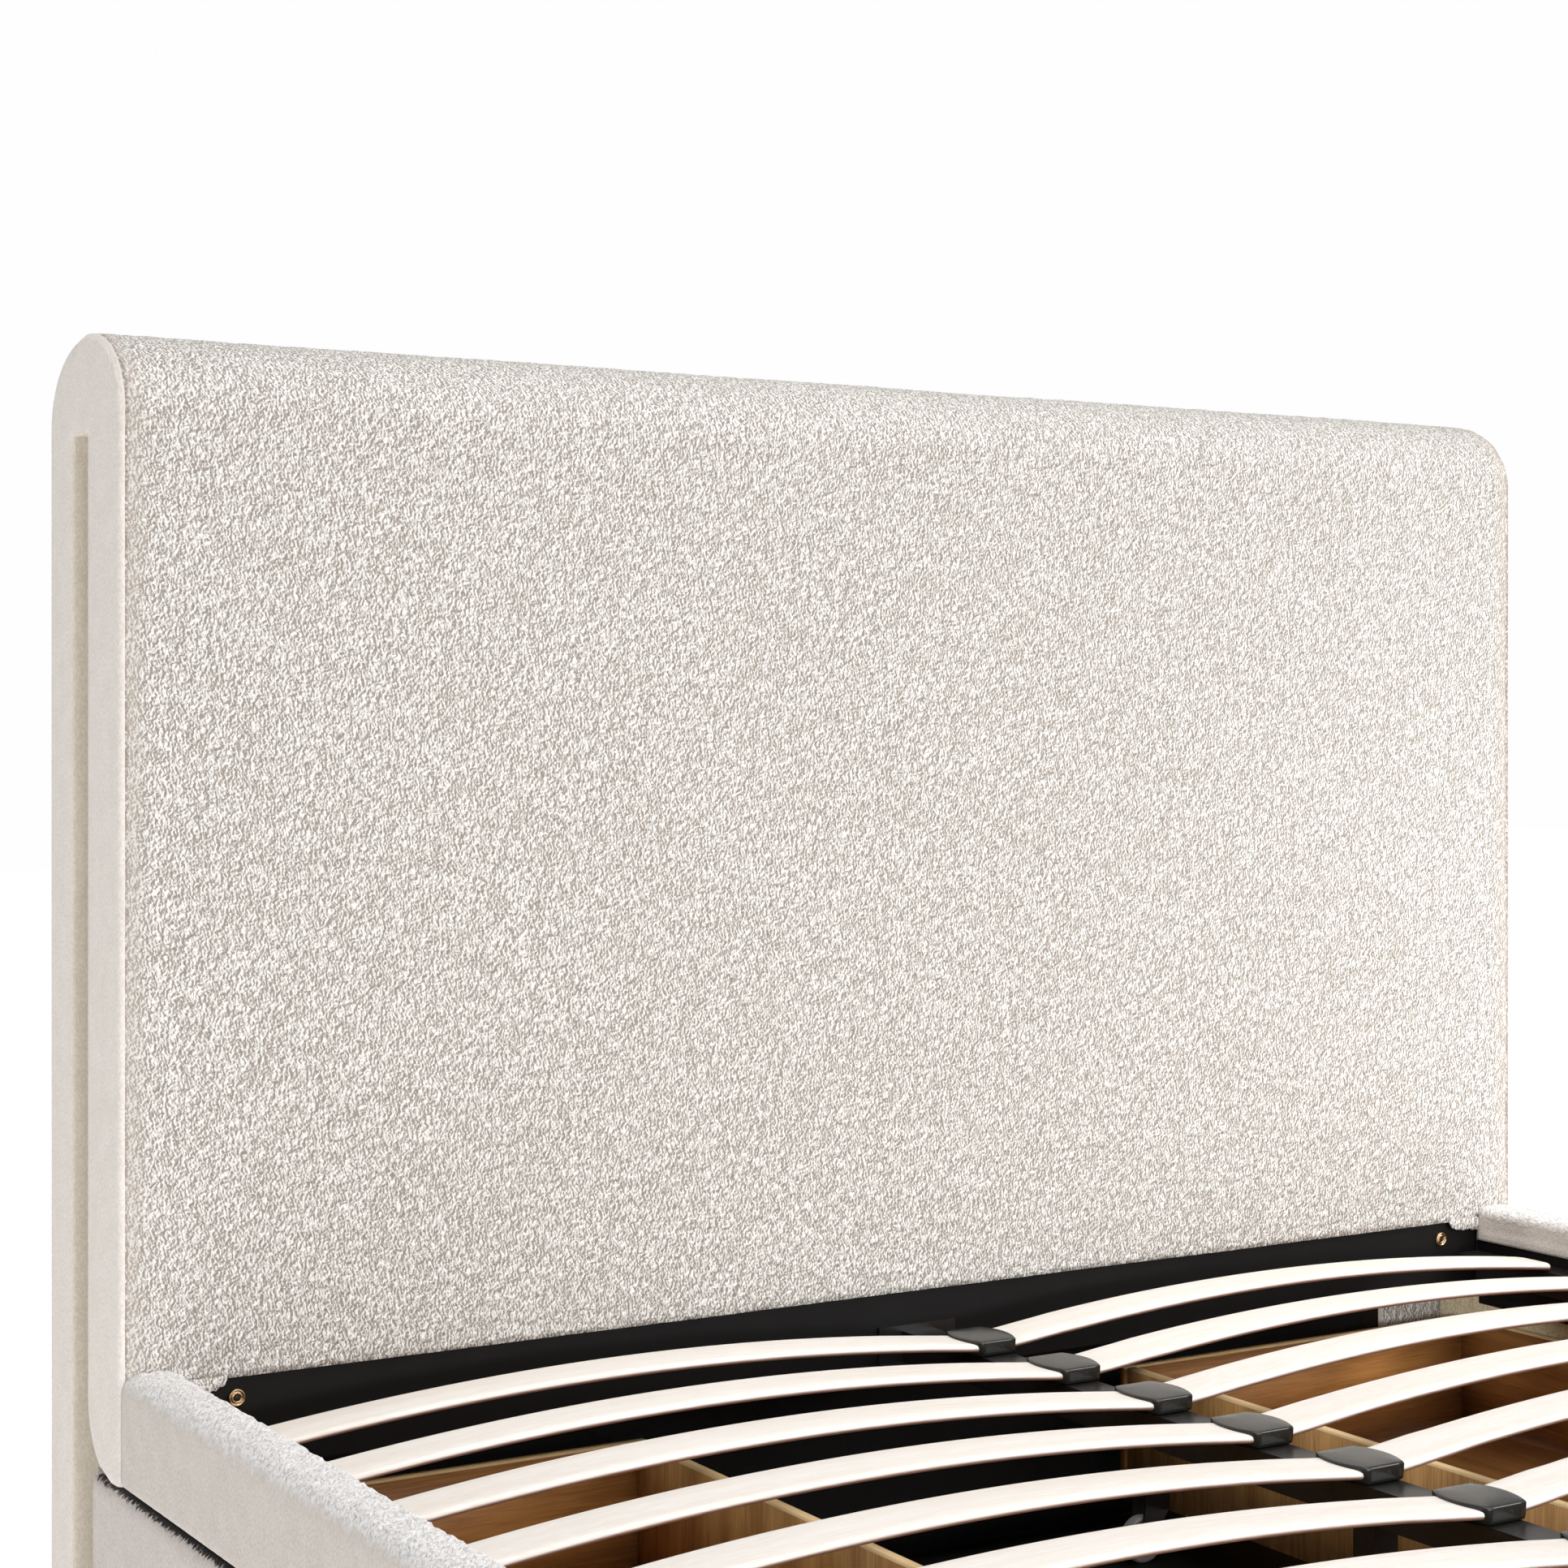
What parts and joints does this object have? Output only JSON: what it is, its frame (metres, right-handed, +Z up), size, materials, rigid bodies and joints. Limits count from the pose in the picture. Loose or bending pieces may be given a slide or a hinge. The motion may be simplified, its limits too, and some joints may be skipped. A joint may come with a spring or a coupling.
{
  "type": "upholstered headboard storage bed",
  "caption": "Queen storage bed with a tall round-topped upholstered headboard, padded rails, bowed slats on a centre rail and wheeled drawers under both sides.",
  "frame": {"origin": "on the floor, at the middle of the bed's length and width", "axes": "+Z up, +Y along the bed towards the headboard, +X to the right-hand side seen from the foot"},
  "size_m": [1.635, 2.285, 1.213],
  "materials": {
    "cream_boucle": "cream white boucle, looped pile",
    "panel_plywood": "raw plywood panel",
    "black_board": "board covered in matt black lining",
    "black_steel": "black powder coat, satin",
    "birch_slat": "pale bent birch plywood, satin",
    "oak_drawer": "honey oak grain laminate, satin",
    "brass_bolt": "yellow zinc plated, polished",
    "grey_wheel": "grey moulded plastic"
  },
  "bodies": {
    "bed_frame": {"headboard_cover": "cream_boucle", "headboard_front_panel": "panel_plywood", "headboard_back_panel": "panel_plywood", "headboard_spacer": "cream_boucle", "head_cross_rail": "black_board", "connector_bolt_left": "brass_bolt", "connector_bolt_right": "brass_bolt", "side_rail_cover_left": "cream_boucle", "side_rail_cover_right": "cream_boucle", "side_rail_board_left": "black_board", "side_rail_board_right": "black_board", "slat_ledger_left": "black_steel", "slat_ledger_right": "black_steel", "foot_rail_cover": "cream_boucle", "foot_board": "panel_plywood", "centre_rail_bracket_head": "black_steel", "centre_rail_bracket_foot": "black_steel", "centre_rail": "black_steel", "centre_leg_1": "black_steel", "centre_leg_2": "black_steel", "slat_row_01": "birch_slat", "slat_row_02": "birch_slat", "slat_row_03": "birch_slat", "slat_row_04": "birch_slat", "slat_row_05": "birch_slat", "slat_row_06": "birch_slat", "slat_row_07": "birch_slat", "slat_row_08": "birch_slat", "slat_row_09": "birch_slat", "slat_row_10": "birch_slat", "slat_row_11": "birch_slat", "slat_row_12": "birch_slat", "slat_row_13": "birch_slat", "slat_row_14": "birch_slat", "slat_row_15": "birch_slat"},
    "drawer_left_head": {"drawer_box_left_head": "oak_drawer", "drawer_front_left_head": "cream_boucle"},
    "wheel_left_head_1": {"caster_wheel_left_head_1": "grey_wheel"},
    "wheel_left_head_2": {"caster_wheel_left_head_2": "grey_wheel"},
    "wheel_left_head_3": {"caster_wheel_left_head_3": "grey_wheel"},
    "wheel_left_head_4": {"caster_wheel_left_head_4": "grey_wheel"},
    "drawer_right_head": {"drawer_box_right_head": "oak_drawer", "drawer_front_right_head": "cream_boucle"},
    "wheel_right_head_1": {"caster_wheel_right_head_1": "grey_wheel"},
    "wheel_right_head_2": {"caster_wheel_right_head_2": "grey_wheel"},
    "wheel_right_head_3": {"caster_wheel_right_head_3": "grey_wheel"},
    "wheel_right_head_4": {"caster_wheel_right_head_4": "grey_wheel"},
    "drawer_left_foot": {"drawer_box_left_foot": "oak_drawer", "drawer_front_left_foot": "cream_boucle"},
    "wheel_left_foot_1": {"caster_wheel_left_foot_1": "grey_wheel"},
    "wheel_left_foot_2": {"caster_wheel_left_foot_2": "grey_wheel"},
    "wheel_left_foot_3": {"caster_wheel_left_foot_3": "grey_wheel"},
    "wheel_left_foot_4": {"caster_wheel_left_foot_4": "grey_wheel"},
    "drawer_right_foot": {"drawer_box_right_foot": "oak_drawer", "drawer_front_right_foot": "cream_boucle"},
    "wheel_right_foot_1": {"caster_wheel_right_foot_1": "grey_wheel"},
    "wheel_right_foot_2": {"caster_wheel_right_foot_2": "grey_wheel"},
    "wheel_right_foot_3": {"caster_wheel_right_foot_3": "grey_wheel"},
    "wheel_right_foot_4": {"caster_wheel_right_foot_4": "grey_wheel"}
  },
  "joints": [
    {"name": "drawer_left_head_slide", "type": "slide", "parent": "bed_frame", "child": "drawer_left_head", "axis": [-1, 0, 0], "range_m": [0, 0.45]},
    {"name": "wheel_left_head_1_spin", "type": "hinge", "parent": "drawer_left_head", "child": "wheel_left_head_1", "pos_m": [-0.2608, 0.0905, 0.0245], "axis": [0, 1, 0], "continuous": true},
    {"name": "wheel_left_head_2_spin", "type": "hinge", "parent": "drawer_left_head", "child": "wheel_left_head_2", "pos_m": [-0.2608, 0.9205, 0.0245], "axis": [0, 1, 0], "continuous": true},
    {"name": "wheel_left_head_3_spin", "type": "hinge", "parent": "drawer_left_head", "child": "wheel_left_head_3", "pos_m": [-0.7275, 0.0905, 0.0245], "axis": [0, 1, 0], "continuous": true},
    {"name": "wheel_left_head_4_spin", "type": "hinge", "parent": "drawer_left_head", "child": "wheel_left_head_4", "pos_m": [-0.7275, 0.9205, 0.0245], "axis": [0, 1, 0], "continuous": true},
    {"name": "drawer_right_head_slide", "type": "slide", "parent": "bed_frame", "child": "drawer_right_head", "axis": [1, 0, 0], "range_m": [0, 0.45]},
    {"name": "wheel_right_head_1_spin", "type": "hinge", "parent": "drawer_right_head", "child": "wheel_right_head_1", "pos_m": [0.2608, 0.9205, 0.0245], "axis": [0, 1, 0], "continuous": true},
    {"name": "wheel_right_head_2_spin", "type": "hinge", "parent": "drawer_right_head", "child": "wheel_right_head_2", "pos_m": [0.2608, 0.0905, 0.0245], "axis": [0, 1, 0], "continuous": true},
    {"name": "wheel_right_head_3_spin", "type": "hinge", "parent": "drawer_right_head", "child": "wheel_right_head_3", "pos_m": [0.7275, 0.9205, 0.0245], "axis": [0, 1, 0], "continuous": true},
    {"name": "wheel_right_head_4_spin", "type": "hinge", "parent": "drawer_right_head", "child": "wheel_right_head_4", "pos_m": [0.7275, 0.0905, 0.0245], "axis": [0, 1, 0], "continuous": true},
    {"name": "drawer_left_foot_slide", "type": "slide", "parent": "bed_frame", "child": "drawer_left_foot", "axis": [-1, 0, 0], "range_m": [0, 0.45]},
    {"name": "wheel_left_foot_1_spin", "type": "hinge", "parent": "drawer_left_foot", "child": "wheel_left_foot_1", "pos_m": [-0.2608, -0.9735, 0.0245], "axis": [0, 1, 0], "continuous": true},
    {"name": "wheel_left_foot_2_spin", "type": "hinge", "parent": "drawer_left_foot", "child": "wheel_left_foot_2", "pos_m": [-0.2608, -0.1435, 0.0245], "axis": [0, 1, 0], "continuous": true},
    {"name": "wheel_left_foot_3_spin", "type": "hinge", "parent": "drawer_left_foot", "child": "wheel_left_foot_3", "pos_m": [-0.7275, -0.9735, 0.0245], "axis": [0, 1, 0], "continuous": true},
    {"name": "wheel_left_foot_4_spin", "type": "hinge", "parent": "drawer_left_foot", "child": "wheel_left_foot_4", "pos_m": [-0.7275, -0.1435, 0.0245], "axis": [0, 1, 0], "continuous": true},
    {"name": "drawer_right_foot_slide", "type": "slide", "parent": "bed_frame", "child": "drawer_right_foot", "axis": [1, 0, 0], "range_m": [0, 0.45]},
    {"name": "wheel_right_foot_1_spin", "type": "hinge", "parent": "drawer_right_foot", "child": "wheel_right_foot_1", "pos_m": [0.2608, -0.1435, 0.0245], "axis": [0, 1, 0], "continuous": true},
    {"name": "wheel_right_foot_2_spin", "type": "hinge", "parent": "drawer_right_foot", "child": "wheel_right_foot_2", "pos_m": [0.2608, -0.9735, 0.0245], "axis": [0, 1, 0], "continuous": true},
    {"name": "wheel_right_foot_3_spin", "type": "hinge", "parent": "drawer_right_foot", "child": "wheel_right_foot_3", "pos_m": [0.7275, -0.1435, 0.0245], "axis": [0, 1, 0], "continuous": true},
    {"name": "wheel_right_foot_4_spin", "type": "hinge", "parent": "drawer_right_foot", "child": "wheel_right_foot_4", "pos_m": [0.7275, -0.9735, 0.0245], "axis": [0, 1, 0], "continuous": true}
  ],
  "couplings": [
    {"joint": "wheel_left_head_1_spin", "follows": "drawer_left_head_slide", "rad_per_m": -41.667},
    {"joint": "wheel_left_head_2_spin", "follows": "drawer_left_head_slide", "rad_per_m": -41.667},
    {"joint": "wheel_left_head_3_spin", "follows": "drawer_left_head_slide", "rad_per_m": -41.667},
    {"joint": "wheel_left_head_4_spin", "follows": "drawer_left_head_slide", "rad_per_m": -41.667},
    {"joint": "wheel_right_head_1_spin", "follows": "drawer_right_head_slide", "rad_per_m": 41.667},
    {"joint": "wheel_right_head_2_spin", "follows": "drawer_right_head_slide", "rad_per_m": 41.667},
    {"joint": "wheel_right_head_3_spin", "follows": "drawer_right_head_slide", "rad_per_m": 41.667},
    {"joint": "wheel_right_head_4_spin", "follows": "drawer_right_head_slide", "rad_per_m": 41.667},
    {"joint": "wheel_left_foot_1_spin", "follows": "drawer_left_foot_slide", "rad_per_m": -41.667},
    {"joint": "wheel_left_foot_2_spin", "follows": "drawer_left_foot_slide", "rad_per_m": -41.667},
    {"joint": "wheel_left_foot_3_spin", "follows": "drawer_left_foot_slide", "rad_per_m": -41.667},
    {"joint": "wheel_left_foot_4_spin", "follows": "drawer_left_foot_slide", "rad_per_m": -41.667},
    {"joint": "wheel_right_foot_1_spin", "follows": "drawer_right_foot_slide", "rad_per_m": 41.667},
    {"joint": "wheel_right_foot_2_spin", "follows": "drawer_right_foot_slide", "rad_per_m": 41.667},
    {"joint": "wheel_right_foot_3_spin", "follows": "drawer_right_foot_slide", "rad_per_m": 41.667},
    {"joint": "wheel_right_foot_4_spin", "follows": "drawer_right_foot_slide", "rad_per_m": 41.667}
  ]
}
